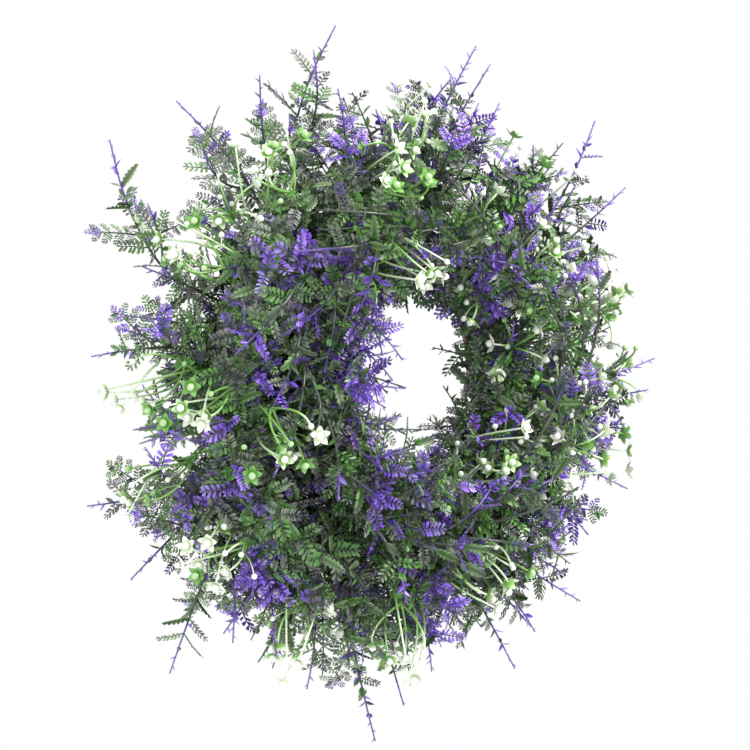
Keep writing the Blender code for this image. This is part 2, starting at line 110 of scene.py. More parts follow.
def add_node(material, kind, inputs=None, **settings):
    """A shader node with its settings and its inputs."""
    made = material.node_tree.nodes.new("ShaderNode" + kind)
    for name, value in settings.items():
        setattr(made, name, value)
    set_inputs(made, inputs or {})
    return made


def new_material(name):
    """A material and its main shader."""
    material = bpy.data.materials.new(name)
    material.use_nodes = True
    return material, material.node_tree.nodes["Principled BSDF"]


def colour_steps(made, steps):
    """Sets a colour ramp's places and colours."""
    ramp = made.color_ramp
    while len(ramp.elements) < len(steps):
        ramp.elements.new(0.5)
    for element, (place, code) in zip(ramp.elements, steps):
        element.position = place
        element.color = linear(code)


def add_object(name, data):
    """A new object in the scene."""
    made = bpy.data.objects.new(name, data)
    bpy.context.collection.objects.link(made)
    return made


def fit_to_wreath(mesh, slot, *nodes):
    """Fixes a mesh to the wreath under the mesh's own name, in place of its solids."""
    piece = add_object(mesh.name, mesh)
    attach(piece, "root")
    if nodes:
        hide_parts(*nodes)


# Vine bark: dry, matt and rough, dark in its cracks and greyer where it is rubbed
vine_bark, surface = new_material("dry vine bark")
grain = add_node(vine_bark, "Attribute", attribute_name="grain")
stretch = add_node(vine_bark, "VectorMath", {0: grain.outputs["Vector"], 1: (1, 1, 0.12)},
                   operation="MULTIPLY")
cracks = add_node(vine_bark, "TexNoise", {"Vector": stretch.outputs[0], "Scale": 1100, "Detail": 5,
                                          "Roughness": 0.65})
patches = add_node(vine_bark, "TexNoise", {"Vector": grain.outputs["Vector"], "Scale": 90, "Detail": 2})
mixed = add_node(vine_bark, "Math", {0: cracks.outputs[0], 1: patches.outputs[0]}, operation="MULTIPLY")
bark_colour = add_node(vine_bark, "ValToRGB", {"Fac": mixed.outputs[0]})
colour_steps(bark_colour, [(0.14, "#2A1C14"), (0.26, "#5A4130"), (0.42, "#8A705A")])
ridges = add_node(vine_bark, "Bump", {"Height": cracks.outputs[0], "Strength": 0.7, "Distance": 0.0008})
set_inputs(surface, {"Base Color": bark_colour.outputs[0], "Normal": ridges.outputs[0],
                     "Roughness": 0.82, "Specular IOR Level": 0.3})

for strand in range(STRANDS):
    draw = random.Random(40 + strand)
    scars = [(draw.uniform(0.02, 0.98), draw.uniform(0, 6.28)) for _ in range(SCARS)]
    corners, grain_at, faces = [], [], []
    for k in range(VINE_RINGS + 1):
        share = k / VINE_RINGS
        clock = strand_ends(strand)[0] + (360 - END_TRIM) * share
        centre, along, across = strand_frame(strand, clock)
        length = radians(clock) * HOOP_RADIUS
        end = 0.9 if k in (0, VINE_RINGS) else 1.0
        for n in range(VINE_SIDES):
            turn = 2 * pi * n / VINE_SIDES
            radius = STRAND_RADIUS * (0.955 + 0.03 * sin(3 * turn + 40 * share))
            for scar, side in scars:
                away = ((share - scar) * 2 * pi * HOOP_RADIUS) ** 2
                away += (STRAND_RADIUS * sin((turn - side) / 2) * 2) ** 2
                radius += SCAR_HEIGHT * exp(-away / SCAR_WIDTH**2)
            radius = min(radius, STRAND_RADIUS) * end
            corner = centre + radius * (cos(turn) * along + sin(turn) * across)
            corner.y = min(corner.y, 0)
            corners.append(corner)
            grain_at.append((radius * cos(turn), radius * sin(turn), length))
    for k in range(VINE_RINGS):
        for n in range(VINE_SIDES):
            a, b = k * VINE_SIDES + n, k * VINE_SIDES + (n + 1) % VINE_SIDES
            faces.append((a, a + VINE_SIDES, b + VINE_SIDES, b))
    faces.append(tuple(range(VINE_SIDES)))
    faces.append(tuple(len(corners) - 1 - n for n in range(VINE_SIDES)))
    mesh = bpy.data.meshes.new(f"vine_bark_{strand + 1}")
    mesh.from_pydata(corners, [], faces)
    mesh.materials.append(vine_bark)
    mesh.shade_smooth()
    attribute = mesh.attributes.new("grain", "FLOAT_VECTOR", "POINT")
    attribute.data.foreach_set("vector", np.array(grain_at, np.float32).ravel())
    fit_to_wreath(mesh, "vine_bark", f"vine_{strand + 1}")

# The lavender picks: each is one moulding of soft dark-green polythene, pushed into a
# groove of the hoop. It forks once, and carries combs, pointed and scalloped leaves and,
# at its bare tip, needles. Its maker sprays its outer end grey and then violet.
#
# The bud sprays and the leafy shoots are planned here too, because each piece keeps clear
# of the rest. A place is its degrees from three o'clock, its reach from the hoop's centre
# and its way off the wall in millimetres: the tip and fork's tip of a lavender pick, the
# crown of a spray and the middle of its buds, with their spread, and a shoot's tip.
LAVENDER = {
    "top": ((100, 230, 55, 106, 218, 62), (72, 229, 45, 78, 199, 62), (67, 225, 35, 75, 176, 78)),
    "top_left": ((117, 216, 60, 120, 192, 95), (131, 232, 50, 136, 208, 80),
                 (143, 249, 50, 150, 216, 80)),
    "top_right": ((46, 239, 40, 57, 182, 70), (34, 229, 40, 44, 182, 70), (64, 178, 58, 52, 160, 85)),
    "right": ((22, 180, 60, 34, 140, 95), (4, 207, 50, 358, 182, 80), (339, 202, 45, 346, 150, 90),
              (327, 188, 45, 326, 152, 85), (316, 210, 45, 313, 172, 78)),
    "bottom": ((298, 214, 45, 301, 187, 72), (272, 209, 60, 279, 170, 88), (268, 232, 50, 264, 178, 80),
               (229, 243, 55, 232, 208, 80), (240, 200, 85, 226, 186, 108)),
    "left": ((214, 222, 50, 206, 194, 85), (200, 228, 50, 192, 198, 88), (176, 212, 50, 168, 196, 85)),
    "face": ((210, 46, 128, 190, 58, 122), (356, 56, 72, 30, 76, 100), (243, 84, 115, 256, 88, 104),
             (308, 154, 82, 296, 138, 102), (214, 150, 120, 162, 150, 122)),
}
SPRAYS = (
    ("arch", (188, 122, 118), (202, 128, 142), 26), ("stars", (112, 100, 112), (98, 70, 124), 14),
    ("top_left", (128, 150, 88), (126, 184, 96), 22), ("left_1", (152, 150, 76), (153, 188, 70), 20),
    ("left_2", (176, 150, 58), (182, 192, 52), 24), ("left_3", (199, 158, 66), (201, 204, 58), 22),
    ("left_4", (182, 138, 96), (186, 176, 110), 20), ("low_left", (220, 158, 86), (218, 196, 90), 22),
    ("bottom_1", (240, 158, 78), (243, 203, 74), 24), ("bottom_2", (266, 142, 86), (266, 184, 88), 26),
    ("bottom_3", (280, 104, 98), (292, 146, 106), 22), ("right_1", (308, 66, 78), (322, 84, 116), 22),
    ("right_2", (342, 130, 76), (345, 172, 70), 20), ("right_3", (18, 132, 76), (19, 172, 66), 22),
    ("right_4", (38, 104, 90), (41, 132, 106), 20), ("top_right", (52, 144, 68), (53, 184, 62), 24),
    ("top", (90, 142, 84), (88, 178, 78), 18), ("top_face", (102, 122, 92), (98, 136, 118), 20),
)
SHOOTS = ((84, 72, 88), (50, 74, 66), (18, 72, 84), (345, 74, 62), (312, 72, 90), (280, 74, 66),
          (247, 72, 92), (214, 76, 64), (181, 74, 92), (148, 76, 66), (116, 72, 94))
HOOP = 0
STEM_RADIUS = 0.0012
FORK_RADIUS = 0.0010
TIP_RADIUS = 0.0005
STALK_RADIUS = 0.0009
TWIG_RADIUS = 0.0006
FOOT_CLEARANCE = 0.0004
FOOT_LENGTH = 0.010
PIECE_GAP = 0.0005
BEAD_STEP = 0.0015
ROOT_REACH = 0.006
ROOT_LIFT = 0.00008
BLADE_NECK = 0.002
FROND_LENGTH = 0.044
FROND_HALF_WIDTH = 0.0135
LEAF_LENGTH = 0.0075
LEAF_HALF_WIDTH = 0.002
LOBED_LENGTH = 0.021
LOBED_HALF_WIDTH = 0.0052
NEEDLE_LENGTH = 0.0045
BUD_RADIUS = 0.0031
SMALL_BUD_RADIUS = 0.0018
STAR_RADIUS = 0.0062
BUDS = 5
BARE_BUD = 2
HOLE_OFFSET = 0.006
HOLE_RADIUS = 0.048
HALF_CONTACT = 1.25
KNEE_SHARE = 0.4
GROW_TRIES = 12
STALK_TRIES = 40
GOLDEN_DEGREES = 137.5
LEANS = {"frond": 0.8, "lobed": 0.4, "teardrop": 0.5, "needle": 0.7}


def place(clock, reach, forward):
    """A point from its clock angle, reach from the hoop's centre and way off the wall."""
    angle = radians(clock)
    out = Vector((cos(angle), 0, sin(angle)))
    point = HOOP_CENTRE + out * reach / 1000
    point.y = -forward / 1000
    return point


class Beads:
    """Every placed piece as small balls, so that a new one can be kept clear of them."""

    def __init__(self):
        self.points = np.empty((0, 3))
        self.radii = np.empty(0)
        self.pieces = np.empty(0, int)
        self.count = 0

    def add(self, points, radii, piece=None):
        """Keep a piece's beads and give its number."""
        if piece is None:
            self.count += 1
            piece = self.count
        self.points = np.vstack([self.points, points])
        self.radii = np.append(self.radii, radii)
        self.pieces = np.append(self.pieces, np.full(len(points), piece))
        return piece

    def clear(self, points, radii, parent, root, reach):
        """Is a piece off the wall, out of the hole and clear of what is placed?

        What it grows from is left out within a short reach of its root.
        """
        if (points[:, 1] + radii > -PIECE_GAP).any():
            return False
        from_hole = np.hypot(points[:, 0] - HOLE_OFFSET, points[:, 2] - HOOP_CENTRE.z)
        if (from_hole - radii < HOLE_RADIUS).any():
            return False
        margin = radii.max() + STAR_RADIUS + PIECE_GAP
        low, high = points.min(0) - margin, points.max(0) + margin
        near = ((self.points > low) & (self.points < high)).all(1)
        by_root = np.linalg.norm(self.points - np.array(root), axis=1) < reach
        near &= ~(by_root & (self.pieces == parent))
        apart = points[:, None] - self.points[near][None]
        least = radii[:, None] + self.radii[near][None] + PIECE_GAP
        return bool(((apart**2).sum(2) > least**2).all())


def span_lengths(path):
    """The length of each span of a path."""
    return [(b - a).length for a, b in zip(path, path[1:])]


def bead_line(path, start_radius, end_radius):
    """Beads along a path, with the radius running from its start's to its end's."""
    points, radii = [], []
    lengths = span_lengths(path)
    whole, gone = sum(lengths), 0.0
    for a, b, length in zip(path, path[1:], lengths):
        steps = max(1, ceil(length / BEAD_STEP))
        for n in range(steps):
            share = (gone + length * n / steps) / whole
            points.append(a.lerp(b, n / steps))
            radii.append(start_radius + (end_radius - start_radius) * share)
        gone += length
    points.append(path[-1])
    radii.append(end_radius)
    return np.array(points), np.array(radii)


def bend(start, knee, end, steps):
    """Points on a smooth bend from start towards knee and on to end."""
    path = []
    for k in range(steps + 1):
        t = k / steps
        path.append((1 - t) ** 2 * start + 2 * t * (1 - t) * knee + t * t * end)
    return path


def side_of(direction, turn):
    """A direction square to the given one, turned round it by some degrees."""
    first = direction.cross(UP if abs(direction.z) < 0.9 else FRONT).normalized()
    return Matrix.Rotation(radians(turn), 3, direction) @ first


def headings(path):
    """At each point of a path, the way that it runs and a side square to that."""
    last = len(path) - 1
    side = side_of((path[1] - path[0]).normalized(), 0)
    found = []
    for k in range(last + 1):
        way = (path[min(last, k + 1)] - path[max(0, k - 1)]).normalized()
        side = (side - way * side.dot(way)).normalized()
        found.append((way, side))
    return found


class Stem:
    """A stem's path and thickness, with the leaves that the moulding has on it."""

    def __init__(self, path, start_radius, end_radius, root=None, ends_in="point"):
        last = len(path) - 1
        rings = last if ends_in == "point" else last + 1
        fall = (end_radius - start_radius) / last
        self.path, self.root, self.ends_in = path, root, ends_in
        self.radii = [start_radius + fall * k for k in range(rings)]
        self.headings = headings(path)
        self.turn, self.piece = 0, None
        self.taken, self.leaves, self.stalks = set(), [], []

    def beads(self):
        return bead_line(self.path, self.radii[0], self.radii[-1])

    def ring(self, k):
        """The three corners at a point of the path."""
        corners = []
        way, side = self.headings[k]
        for n in range(3):
            across = Matrix.Rotation(2 * pi * n / 3, 3, way) @ side
            if k == 0 and self.root:
                across = (across - self.root.out * across.dot(self.root.out)).normalized()
                corners.append(self.root.point + self.root.half * across)
            else:
                corners.append(self.path[k] + self.radii[k] * across)
        return corners


class Root:
    """A spot on a stem's side where another part of the moulding grows out."""

    def __init__(self, stem, share, number):
        lengths = span_lengths(stem.path)
        left = share * sum(lengths)
        k = 0
        while k < len(stem.radii) - 2 and left > lengths[k]:
            left -= lengths[k]
            k += 1
        part = min(0.8, max(0.2, left / lengths[k]))
        face = number % 3
        here, there = stem.ring(k), stem.ring(k + 1)
        low = (here[face] + here[face - 2]) / 2
        high = (there[face] + there[face - 2]) / 2
        across = here[face - 2].lerp(there[face - 2], part) - here[face].lerp(there[face], part)
        self.key = (k, face)
        self.stem = stem
        self.way = (high - low).normalized()
        self.out = across.cross(self.way).normalized()
        self.half = across.length * 0.24
        self.point = low.lerp(high, part) + self.out * ROOT_LIFT

    def free(self):
        return self.key not in self.stem.taken

    def arc_to(self, end, lean):
        """A bend that leaves the stem here, leaning along it, and runs to an end."""
        heading = (self.way * lean + self.out).normalized()
        knee = self.point + heading * (end - self.point).length * KNEE_SHARE
        return bend(self.point, knee, end, 3)


def leaflet_spots(length, half_width, pairs):
    """How far up a frond each pair of its leaflets and the gap above it stand, and how
    far out the pair reaches.
    """
    pitch = (length - BLADE_NECK) / (pairs + 0.8)
    spots = []
    for k in range(pairs):
        middle = BLADE_NECK + pitch * (k + 0.5)
        share = middle / length
        wide = half_width * (0.62 + 1.1 * share - 1.35 * share**2)
        spots.append((middle, middle + pitch * 0.5, wide))
    return spots


def blade_beads(root, aim, face, length, half_width, pairs, slant, arch):
    """The room that a frond or scalloped leaf takes."""
    side = aim.cross(face).normalized()

    def at(along, across):
        drop = arch * length * (along / length) ** 2
        return root.point + aim * along + side * across - face * drop

    points, radii = bead_line([at(0, 0), at(length, 0)], 0.0012, 0.0008)
    for middle, _, wide in leaflet_spots(length, half_width, pairs):
        for across in (wide, -wide):
            tip = at(middle + slant * wide, across)
            more, thick = bead_line([at(middle, 0), tip], 0.0022, 0.0006)
            points, radii = np.vstack([points, more]), np.append(radii, thick)
    return points, radii


def grow(kind, stem, share, number, beads, draw, pairs=0, size=1.0):
    """A frond, leaf or needle on a stem, at the first side where it is clear of the rest."""
    for attempt in range(GROW_TRIES):
        root = Root(stem, share + 0.02 * (attempt // 3), number + attempt)
        if not root.free():
            continue
        aim = (root.way * LEANS[kind] + root.out).normalized()
        face = aim.cross(root.way).normalized()
        if kind == "frond":
            face = aim.cross(root.way.cross(root.out))
            face = Matrix.Rotation(radians(draw.uniform(-45, 45)), 3, aim) @ face
            length = FROND_LENGTH * size * (1 - 0.03 * attempt)
            wide = length * FROND_HALF_WIDTH / FROND_LENGTH
            room = blade_beads(root, aim, face, length, wide, pairs, 0.55, 0.12)
        elif kind == "lobed":
            length, wide = LOBED_LENGTH * size, LOBED_HALF_WIDTH
            room = blade_beads(root, aim, face, length, wide, 3, 0.2, 0.15)
        else:
            length, wide, thinned = NEEDLE_LENGTH, root.half, 1.0
            if kind == "teardrop":
                length, wide, thinned = LEAF_LENGTH, LEAF_HALF_WIDTH, 0.4
            room = bead_line([root.point, root.point + aim * length], wide, wide * thinned)
        if beads.clear(*room, stem.piece, root.point, ROOT_REACH):
            beads.add(*room)
            stem.taken.add(root.key)
            stem.leaves.append((kind, root.point, aim, face, length, wide, pairs))
            return


def all_seats():
    """Every place where a stem's foot can be pushed into a groove between two strands."""
    found = []
    for clock in range(0, 360, 3):
        centres = [strand_at(s, clock) for s in range(STRANDS)]
        middle = sum(centres, Vector()) / STRANDS
        for s in range(STRANDS):
            a, b = centres[s], centres[(s + 1) % STRANDS]
            way = ((a + b) / 2 - middle).normalized()
            half = (a - b).length / 2 - STEM_RADIUS - FOOT_CLEARANCE
            depth = sqrt(STRAND_RADIUS**2 - half**2)
            if way.y < 0.35:
                found.append(((a + b) / 2 + way * depth, way))
    return found


def seated_stem(tip, seats, beads, end_radius, steps):
    """A stem to a tip, from the groove that lets it get there with the least bend."""

    def effort(seat):
        foot, way = seat
        run = tip - foot - way * FOOT_LENGTH
        return run.length * 5 - way.dot(run.normalized())

    for foot, way in sorted(seats, key=effort):
        mouth = foot + way * FOOT_LENGTH
        knee = mouth + way * (tip - mouth).length * KNEE_SHARE
        stem = Stem([foot] + bend(mouth, knee, tip, steps), STEM_RADIUS, end_radius)
        if beads.clear(*stem.beads(), HOOP, foot, FOOT_LENGTH * 1.5):
            seats.remove((foot, way))
            stem.piece = beads.add(*stem.beads())
            return stem
    return None


def grow_fork(stem, end, beads):
    """A fork that leaves a stem part way along and runs to its own tip."""
    for share in (0.35, 0.45, 0.27, 0.55, 0.2):
        roots = [Root(stem, share, n) for n in range(3)]
        root = max(roots, key=lambda r: r.out.dot((end - r.point).normalized()))
        fork = Stem(root.arc_to(end, 1.0), FORK_RADIUS, TIP_RADIUS, root)
        if beads.clear(*fork.beads(), stem.piece, root.point, ROOT_REACH):
            stem.taken.add(root.key)
            fork.piece = beads.add(*fork.beads())
            return fork
    return None


def grow_stalk(stem, share, end, star, turn, beads):
    """A bud's stalk, arching from a spray's crown to where its bud is."""
    roots = [Root(stem, share, n) for n in range(3)]
    roots = [root for root in roots if root.free()]
    if not roots:
        return False
    root = max(roots, key=lambda r: r.out.dot(end - r.point))
    path = root.arc_to(end, 0.6)
    stalk = Stem(path, STALK_RADIUS, TWIG_RADIUS, root, "star" if star else "bud")
    stalk.turn = turn
    points, radii = stalk.beads()
    beyond = end + (end - path[-2]).normalized() * BUD_RADIUS
    points = np.vstack([points, np.array([beyond])])
    radii = np.append(radii, STAR_RADIUS if star else SMALL_BUD_RADIUS * 1.3)
    if not beads.clear(points, radii, stem.piece, root.point, ROOT_REACH):
        return False
    beads.add(points, radii, stem.piece)
    stem.taken.add(root.key)
    stem.stalks.append(stalk)
    return True


def plan_spray(crown, aim, spread, seats, beads, draw):
    """A stem that parts at its crown into stalks, each ending in a bud."""
    stem = seated_stem(place(*crown), seats, beads, STALK_RADIUS, 4)
    middle = place(*aim)
    heading = (middle - stem.path[-1]).normalized()
    for n in range(BUDS):
        for attempt in range(STALK_TRIES):
            wide = spread / 1000 * sqrt((n + 0.5) / BUDS) * (1 + 0.03 * attempt)
            turn = GOLDEN_DEGREES * n + 40 * attempt + draw.uniform(-15, 15)
            end = middle + side_of(heading, turn) * wide
            end += heading * draw.uniform(-0.010, 0.008)
            share = 0.95 if n < 3 else 0.70 - 0.10 * (attempt % 3)
            if grow_stalk(stem, share, end, n != BARE_BUD, turn, beads):
                break
    return stem


draw = random.Random(11)
beads = Beads()
for strand in range(STRANDS):
    first, last = strand_ends(strand)
    between = range(ceil(first / HOOP_STEP), ceil(last / HOOP_STEP))
    clocks = [first] + [n * HOOP_STEP for n in between] + [last]
    for contact in range(135 - 45 * strand, 720, 180):
        ends = (contact - HALF_CONTACT, contact + HALF_CONTACT)
        clocks += [clock for clock in ends if first < clock < last]
    path = [strand_at(strand, clock) for clock in sorted(clocks)]
    beads.add(*bead_line(path, STRAND_RADIUS, STRAND_RADIUS), piece=HOOP)
seats = all_seats()
picks, shoots = [], []
for group, rows in LAVENDER.items():
    for n, row in enumerate(rows):
        stem = seated_stem(place(*row[:3]), seats, beads, TIP_RADIUS, 6)
        if stem:
            picks.append((f"{group}_{n + 1}", stem, grow_fork(stem, place(*row[3:]), beads)))
for n, tip in enumerate(SHOOTS):
    stem = seated_stem(place(*tip), seats, beads, TIP_RADIUS, 3)
    if stem:
        shoots.append((f"shoot_{n + 1}", stem))
sprays = [(name, plan_spray(*rest, seats, beads, draw)) for name, *rest in SPRAYS]
for name, stem, fork in picks:
    number = draw.randrange(3)
    size = draw.uniform(0.9, 1.08)
    grow("frond", stem, 0.30, number, beads, draw, 4, size)
    grow("frond", stem, 0.52, number + 1, beads, draw, 4, size * 0.85)
    if fork:
        grow("frond", fork, 0.25, number + 2, beads, draw, 4, size)
        grow("frond", fork, 0.5, number, beads, draw, 3, size * 0.8)
for name, stem in shoots:
    for n, share in enumerate((0.25, 0.45, 0.65)):
        grow("frond", stem, share, n, beads, draw, 3, 0.85)
    grow("lobed", stem, 0.5, 2, beads, draw)
for name, stem, fork in picks:
    grow("lobed", stem, 0.18, 2, beads, draw)
    grow("teardrop", stem, 0.68, 0, beads, draw)
    grow("needle", stem, 0.82, 1, beads, draw)
    if fork:
        grow("teardrop", fork, 0.62, 2, beads, draw)
        grow("needle", fork, 0.8, 0, beads, draw)


class Moulding:
    """One moulded piece: its points, triangles and sprayed colour, shape by shape."""

    def __init__(self):
        self.points, self.faces, self.paint, self.count = [], [], [], 0

    def add(self, points, faces, paint):
        self.points.append(points)
        self.faces.append(faces + self.count)
        self.paint.append(paint)
        self.count += len(points)

    def lay(self, shape, point, aim, face, size, spray, tint):
        """A copy of a shape: its length along aim and its upper side towards face."""
        points, faces = shape
        face = (face - aim * face.dot(aim)).normalized()
        turn = np.array([aim.cross(face), aim, face])
        along = np.clip(points[:, 1], 0, 1)
        paint = np.empty((len(points), 4))
        paint[:, 0] = spray[0] + (spray[1] - spray[0]) * along
        paint[:, 1] = tint
        # The third value runs from a leaf's rib to its edges: it places the painted highlight at the
        # edges and the painted shade along the rib
        paint[:, 2] = abs(points[:, 0]) / abs(points[:, 0]).max()
        paint[:, 3] = 1
        self.add(points @ turn * size + np.array(point), faces, paint)

    def tube(self, path, start_radius, end_radius, sides, spray, tint):
        """A stem along a path, open at its root and closed at its tip.

        spray is the coat near the root, the coat near the tip and the shares of the length
        between which the one turns to the other.
        """
        last = len(path) - 1
        points, paint, faces = [], [], []
        for k, (centre, (way, side)) in enumerate(zip(path, headings(path))):
            square = way.cross(side)
            share = k / last
            radius = start_radius + (end_radius - start_radius) * share
            part = min(1, max(0, (share - spray[2]) / (spray[3] - spray[2])))
            coat = spray[0] + (spray[1] - spray[0]) * part
            for n in range(sides):
                turn = 2 * pi * n / sides
                points.append(centre + radius * (cos(turn) * side + sin(turn) * square))
                # 0.1 in the third value gives a stem the painted shade of a leaf's rib
                paint.append((coat, tint, 0.1, 1))
        for k in range(last):
            for n in range(sides):
                a, b = k * sides + n, k * sides + (n + 1) % sides
                faces += [(a, b, b + sides), (a, b + sides, a + sides)]
        for n in range(1, sides - 1):
            faces.append((last * sides, last * sides + n, last * sides + n + 1))
        self.add(np.array(points), np.array(faces), np.array(paint))

    def build(self, name, material, slot, *nodes):
        mesh = bpy.data.meshes.new(name)
        mesh.from_pydata(np.concatenate(self.points), [], np.concatenate(self.faces))
        mesh.materials.append(material)
        mesh.shade_smooth()
        colours = mesh.color_attributes.new("paint", "FLOAT_COLOR", "POINT")
        colours.data.foreach_set("color", np.concatenate(self.paint).astype(np.float32).ravel())
        fit_to_wreath(mesh, slot, *nodes)


def folded_leaf(outline, fold):
    """A leaf in two halves that rise a little from its rib.

    outline has (along, half width) from root to tip.
    """
    count = len(outline)
    points = [(0, 0, 0), (0, 1, 0)]
    faces = []
    for side in (1, -1):
        base = len(points)
        points += [(side * half, along, fold * half) for along, half in outline]
        rim = [*range(base, base + count), 1]
        for here, there in zip(rim, rim[1:]):
            faces.append((0, here, there) if side > 0 else (0, there, here))
    return np.array(points, float), np.array(faces)


def joined(shapes):
    """Several shapes as one."""
    count, points, faces = 0, [], []
    for more, more_faces in shapes:
        points.append(more)
        faces.append(more_faces + count)
        count += len(more)
    return np.concatenate(points), np.concatenate(faces)


def turned(shape, turn, size, at, roll=0.0):
    """A shape in its own plane turned from its length, scaled and moved."""
    points, faces = shape
    a, b = radians(turn), radians(roll)
    x, y, z = points.T * size
    x, z = x * cos(b) - z * sin(b), x * sin(b) + z * cos(b)
    x, y = x * cos(a) + y * sin(a), -x * sin(a) + y * cos(a)
    return np.column_stack([x, y, z]) + np.array(at), faces


def arched(shape, drop):
    """A shape bent back off its upper side towards its tip."""
    points, faces = shape
    points = points.copy()
    points[:, 2] -= drop * points[:, 1] ** 2
    return points, faces


def rod(start, end, start_radius, end_radius):
    """A three-sided rod between two points, without ends."""
    start, end = np.array(start, float), np.array(end, float)
    ring = np.array([(cos(t), 0, sin(t)) for t in (1.57, 3.67, 5.76)])
    points = np.vstack([start + ring * start_radius, end + ring * end_radius])
    faces = []
    for n in range(3):
        m = (n + 1) % 3
        faces += [(n, m, m + 3), (n, m + 3, n + 3)]
    return points, np.array(faces)


# One comb: a thin rib with five or six pairs of narrow leaflets, well apart, and one at
# its tip. Beside the combs stand small leaves, pointed at both ends.
LEAFLET = folded_leaf([(0.30, 0.15), (0.80, 0.20)], 0.5)
POINTED = folded_leaf([(0.10, 0.08), (0.36, 0.23), (0.68, 0.17)], 0.45)
RIB_SHARE = 0.92


def comb(pairs, seed):
    """A comb: its length is one, and its leaflets lean towards its tip."""
    chance = random.Random(seed)
    shapes = [rod((0, -0.02, 0), (0, 0.5, 0), 0.030, 0.024),
              rod((0, 0.5, 0), (0, 0.93, 0), 0.024, 0.016)]
    for k in range(pairs):
        share = k / (pairs - 1)
        along = 0.17 + 0.66 * share
        size = (0.18 + 0.12 * sin(pi * (0.22 + 0.62 * share))) * chance.uniform(0.88, 1.1)
        for side in (1, -1):
            lean = side * (74 - 24 * share + chance.uniform(-9, 9))
            at = (0, along + side * 0.016, 0)
            shapes.append(turned(LEAFLET, lean, size, at, chance.uniform(-30, 30)))
    shapes.append(turned(LEAFLET, chance.uniform(-8, 8), 0.17, (0, 0.88, 0)))
    return arched(joined(shapes), 0.18)


def scalloped(scallops, half):
    """A broad leaf with a scalloped edge, quilted between its side veins."""
    points, faces = [], []

    def half_at(share):
        return half * (0.42 + 1.5 * share - 1.75 * share**2)

    for k in range(scallops + 1):
        share = k / scallops
        along = share * RIB_SHARE
        points.append((0, along, -0.012))
        points += [(side * half_at(share) * 0.70, along + 0.055, -0.03) for side in (1, -1)]
    tip = len(points)
    points.append((0, 1.0, -0.03))
    for k in range(scallops):
        a, b = 3 * k, 3 * k + 3
        share = (k + 0.5) / scallops
        along = share * RIB_SHARE
        for n, side in ((1, 1), (2, -1)):
            wide = side * half_at(share)
            mid, peak_low, peak_high = len(points), len(points) + 1, len(points) + 2
            points.append((wide * 0.5, along + 0.04, 0.05))
            points.append((wide * 1.08, along + 0.045, 0.0))
            points.append((wide * 1.10, along + 0.105, 0.0))
            rim = [a, a + n, peak_low, peak_high, b + n, b]
            for here, there in zip(rim, rim[1:] + rim[:1]):
                faces.append((here, there, mid) if side > 0 else (there, here, mid))
    a = 3 * scallops
    faces += [(a, a + 1, tip), (a, tip, a + 2)]
    stalk = rod((0, -0.14, 0), (0, 0.06, -0.01), 0.02, 0.018)
    return arched(joined([(np.array(points), np.array(faces)), stalk]), 0.18)


COMBS = [comb(5 + n % 2, 60 + n) for n in range(6)]
SCALLOPED = [scalloped(6, 0.21), scalloped(5, 0.24)]
NEEDLE = joined([rod((0, -0.05, 0), (0, 0.45, 0), 0.13, 0.13), rod((0, 0.45, 0), (0, 1, 0), 0.13, 0.02)])

# Where the violet lies thickest, as places on the wreath's face and how far it spreads
VIOLET = (
    (-44, 6, 17), (39, -93, 19), (118, -96, 14), (-81, 77, 14), (-49, 91, 11), (-131, -20, 13),
    (-156, -83, 13), (-120, -134, 15), (-49, -74, 12), (97, 122, 12), (40, 125, 11), (47, 67, 12),
    (-42, 166, 11), (-18, 186, 10), (-167, 128, 14), (26, -147, 13), (156, 51, 12), (150, -40, 13),
)


def violet_at(point):
    """How thickly the violet lies at a place, from 0 to 1."""
    x, z = point.x * 1000, (point.z - HOOP_CENTRE.z) * 1000
    most = 0.0
    for cx, cz, spread in VIOLET:
        most = max(most, exp(-((x - cx) ** 2 + (z - cz) ** 2) / (2 * spread**2)))
    return most


def smooth_path(path, steps):
    """A curve through the points of a path."""
    last = len(path) - 1
    made = []
    for k in range(last):
        before, start = path[max(0, k - 1)], path[k]
        end, after = path[k + 1], path[min(last, k + 2)]
        for n in range(steps):
            t = n / steps
            made.append(0.5 * (2 * start + (end - before) * t
                               + (2 * before - 5 * start + 4 * end - after) * t**2
                               + (3 * start - before - 3 * end + after) * t**3))
    made.append(path[-1])
    return made


def along_path(path, distance):
    """The point and heading at a distance along a path."""
    for a, b in zip(path, path[1:]):
        length = (b - a).length
        if distance <= length:
            return a.lerp(b, distance / length), (b - a).normalized()
        distance -= length
    return path[-1], (path[-1] - path[-2]).normalized()


def at_share(path, share):
    """The point and heading at a share of a path's length."""
    return along_path(path, share * sum(span_lengths(path)))


def kept_clear(point):
    """Is a place inside the wreath's body, off the wall and out of its hole?"""
    reach = hypot(point.x - HOLE_OFFSET, point.z - HOOP_CENTRE.z)
    inner = HOLE_RADIUS - (0.014 if point.y < -0.110 else 0.004)
    return point.y < -0.004 and reach > inner


# How thick the coat of a violet, dusky, grey and green leaf is, how many are dusky and
# grey, and the least and greatest sizes of the leaves in metres
VIOLET_COAT = (0.60, 0.80)
DUSKY_COAT = (0.40, 0.48)
GREY_COAT = (0.20, 0.38)
GREEN_COAT = (0.0, 0.18)
DUSKY_SHARE = 0.10
GREY_SHARE = 0.40
NEEDLE_SIZES = (0.0044, 0.0060)
END_LEAF_SIZES = (0.0048, 0.0066)
POINTED_SIZES = (0.0065, 0.0095)
COMB_SIZES = (0.0130, 0.0198)
SCALLOPED_SIZES = (0.014, 0.021)
BARE_END = 0.018
TIP_GAP = 0.0015


